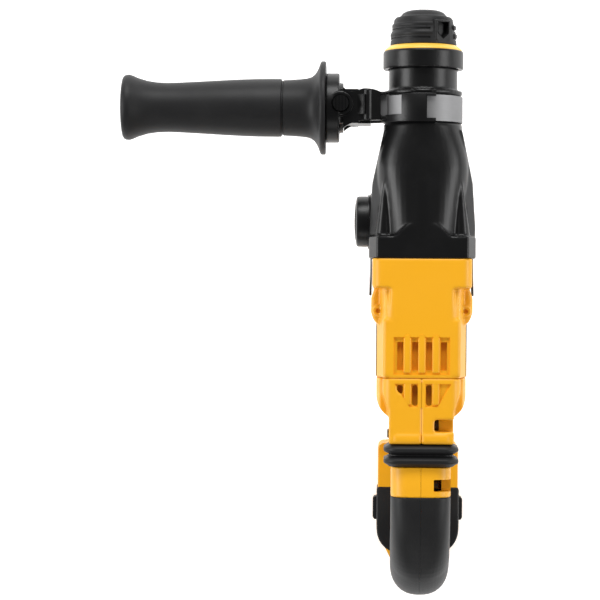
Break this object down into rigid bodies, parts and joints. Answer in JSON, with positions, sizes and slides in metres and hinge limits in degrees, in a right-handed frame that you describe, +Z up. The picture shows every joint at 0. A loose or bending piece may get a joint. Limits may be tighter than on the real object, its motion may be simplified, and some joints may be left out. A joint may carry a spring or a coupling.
{
  "type": "cordless rotary hammer",
  "caption": "Bare cordless rotary and demolition hammer with quick-change chuck, swivelling side handle, mode knob, sprung D handle and slide-on battery foot.",
  "frame": {"origin": "on the spindle axis, at the mouth of the steel tool holder inside the rubber nose cap", "axes": "+Y along the spindle towards the tool bit, +Z up from the battery foot to the top of the housing, +X to the operator's right; the side handle points along -X"},
  "size_m": [0.2246, 0.3741, 0.1947],
  "materials": {
    "yellow_plastic": "satin, fine moulded grain",
    "accent_plastic": "smooth",
    "black_plastic": "fine moulded grain",
    "gloss_black": "smooth",
    "black_rubber": "soft matte overmould",
    "case_black": "glass-filled nylon over the gears",
    "steel": "ground",
    "dark_steel": "black oxide",
    "band_steel": "bead-blasted, matte",
    "bronze": "sintered",
    "copper": "enamelled wire",
    "laminated": "stamped laminations",
    "cast_alloy": "die-cast",
    "board": "potted"
  },
  "bodies": {
    "tool_body": {"gearcase": "case_black", "bearing_plate": "cast_alloy", "flange_screws": "dark_steel", "spindle_bearing": "steel", "spindle_bush": "bronze", "shaft_bearings": "steel", "selector_bezel": "black_plastic", "motor_housing": "yellow_plastic", "stator_core": "laminated", "stator_coils": "copper", "motor_bearings": "steel", "motor_end_cap": "black_plastic", "controller": "board", "rear_shell_left": "yellow_plastic", "rear_shell_right": "yellow_plastic", "body_screws": "dark_steel", "bellows": "black_rubber", "damper_springs": "dark_steel", "guide_rod": "steel", "pivot_pin": "steel", "foot_pad_left": "black_rubber", "foot_pad_right": "black_rubber", "terminal_block": "black_plastic"},
    "spindle": {"tool_spindle": "steel", "spindle_gear": "steel", "dust_cap": "black_rubber", "nose_circlip": "dark_steel", "sleeve_spring": "dark_steel"},
    "locking_sleeve": {"chuck_sleeve": "black_plastic", "accent_ring": "accent_plastic", "lock_ring": "dark_steel"},
    "ball_left": {"locking_ball_left": "steel"},
    "ball_right": {"locking_ball_right": "steel"},
    "beat": {"beat_piece": "steel"},
    "ram": {"striker": "steel"},
    "piston_body": {"piston": "steel"},
    "trunnion": {"piston_trunnion": "steel"},
    "wobble": {"wobble_ring": "steel"},
    "drive_shaft": {"intermediate_shaft": "steel", "wobble_hub": "steel"},
    "clutch": {"mode_clutch": "steel"},
    "fork": {"shift_fork": "cast_alloy"},
    "selector": {"selector_knob": "gloss_black", "selector_shaft": "steel"},
    "motor_rotor": {"rotor": "steel", "cooling_fan": "black_plastic"},
    "direction_switch": {"direction_bar": "black_plastic"},
    "rear_handle": {"handle_shell_left": "yellow_plastic", "handle_shell_right": "yellow_plastic", "handle_grip_left": "black_rubber", "handle_grip_right": "black_rubber", "handle_screws": "dark_steel", "trigger_switch": "black_plastic"},
    "trigger_body": {"trigger": "black_plastic"},
    "side_handle": {"clamp_band": "band_steel", "clamp_carrier": "black_plastic"},
    "depth_button": {"depth_stop_button": "gloss_black"},
    "grip": {"side_grip": "black_rubber", "side_grip_core": "black_plastic"},
    "bolt": {"clamp_bolt": "steel"}
  },
  "joints": [
    {"name": "rotor_spin", "type": "hinge", "parent": "tool_body", "child": "motor_rotor", "pos_m": [0, -0.19, -0.008], "axis": [0, 1, 0], "continuous": true},
    {"name": "shaft_spin", "type": "hinge", "parent": "tool_body", "child": "drive_shaft", "pos_m": [0, -0.12, -0.032], "axis": [0, 1, 0], "continuous": true},
    {"name": "spindle_spin", "type": "hinge", "parent": "tool_body", "child": "spindle", "pos_m": [0, -0.05, 0], "axis": [0, 1, 0], "continuous": true},
    {"name": "sleeve_pull", "type": "slide", "parent": "spindle", "child": "locking_sleeve", "axis": [0, -1, 0], "range_m": [0, 0.008], "stiffness_N_per_m": 400, "springref_m": -0.01, "deforming": ["sleeve_spring"]},
    {"name": "ball_left_release", "type": "slide", "parent": "spindle", "child": "ball_left", "axis": [-1, 0, 0], "range_m": [0, 0.0017]},
    {"name": "ball_right_release", "type": "slide", "parent": "spindle", "child": "ball_right", "axis": [1, 0, 0], "range_m": [0, 0.0017]},
    {"name": "beat_piece_slide", "type": "slide", "parent": "spindle", "child": "beat", "axis": [0, 1, 0], "range_m": [0, 0.003]},
    {"name": "striker_slide", "type": "slide", "parent": "spindle", "child": "ram", "axis": [0, 1, 0], "range_m": [-0.003, 0.009]},
    {"name": "wobble_swing", "type": "hinge", "parent": "tool_body", "child": "wobble", "pos_m": [0, -0.126, -0.032], "axis": [1, 0, 0], "range_deg": [-11, 11]},
    {"name": "piston_slide", "type": "slide", "parent": "tool_body", "child": "piston_body", "axis": [0, -1, 0], "range_m": [-0.0063, 0.0063]},
    {"name": "trunnion_turn", "type": "hinge", "parent": "piston_body", "child": "trunnion", "pos_m": [0, -0.126, 0], "axis": [1, 0, 0], "range_deg": [-11.5, 11.5]},
    {"name": "selector_turn", "type": "hinge", "parent": "tool_body", "child": "selector", "pos_m": [-0.036, -0.127, -0.015], "axis": [-1, 0, 0], "range_deg": [-60, 60]},
    {"name": "fork_shift", "type": "slide", "parent": "tool_body", "child": "fork", "axis": [0, -1, 0], "range_m": [-0.0018, 0.0018]},
    {"name": "clutch_shift", "type": "slide", "parent": "drive_shaft", "child": "clutch", "axis": [0, -1, 0], "range_m": [-0.0018, 0.0018]},
    {"name": "direction_slide", "type": "slide", "parent": "tool_body", "child": "direction_switch", "axis": [1, 0, 0], "range_m": [0, 0.004]},
    {"name": "handle_swing", "type": "hinge", "parent": "tool_body", "child": "rear_handle", "pos_m": [0, -0.333, -0.136], "axis": [-1, 0, 0], "range_deg": [-0.4, 2], "stiffness_Nm_per_rad": 150, "deforming": ["bellows", "damper_springs"]},
    {"name": "trigger_pull", "type": "slide", "parent": "rear_handle", "child": "trigger_body", "axis": [0, -1, 0], "range_m": [0, 0.007], "stiffness_N_per_m": 500, "springref_m": -0.006},
    {"name": "side_handle_swivel", "type": "hinge", "parent": "tool_body", "child": "side_handle", "pos_m": [0, -0.0555, 0], "axis": [0, 1, 0], "continuous": true},
    {"name": "depth_button_push", "type": "slide", "parent": "side_handle", "child": "depth_button", "axis": [0, 0, -1], "range_m": [0, 0.003], "stiffness_N_per_m": 600, "springref_m": -0.002},
    {"name": "side_grip_twist", "type": "hinge", "parent": "side_handle", "child": "grip", "pos_m": [-0.1, -0.0555, 0], "axis": [-1, 0, 0], "range_deg": [0, 360]},
    {"name": "clamp_bolt_slide", "type": "slide", "parent": "side_handle", "child": "bolt", "axis": [1, 0, 0], "range_m": [0, 0.0013]}
  ],
  "couplings": [
    {"joint": "shaft_spin", "follows": "rotor_spin", "ratio": -0.23077},
    {"joint": "spindle_spin", "follows": "rotor_spin", "ratio": 0.076923},
    {"joint": "ball_left_release", "follows": "sleeve_pull", "ratio": 0.2},
    {"joint": "ball_right_release", "follows": "sleeve_pull", "ratio": 0.2},
    {"joint": "piston_slide", "follows": "wobble_swing", "m_per_rad": 0.0322},
    {"joint": "trunnion_turn", "follows": "wobble_swing", "ratio": 1},
    {"joint": "fork_shift", "follows": "selector_turn", "m_per_rad": 0.00165},
    {"joint": "clutch_shift", "follows": "selector_turn", "m_per_rad": 0.00165},
    {"joint": "clamp_bolt_slide", "follows": "side_grip_twist", "m_per_rad": 0.00019894}
  ]
}
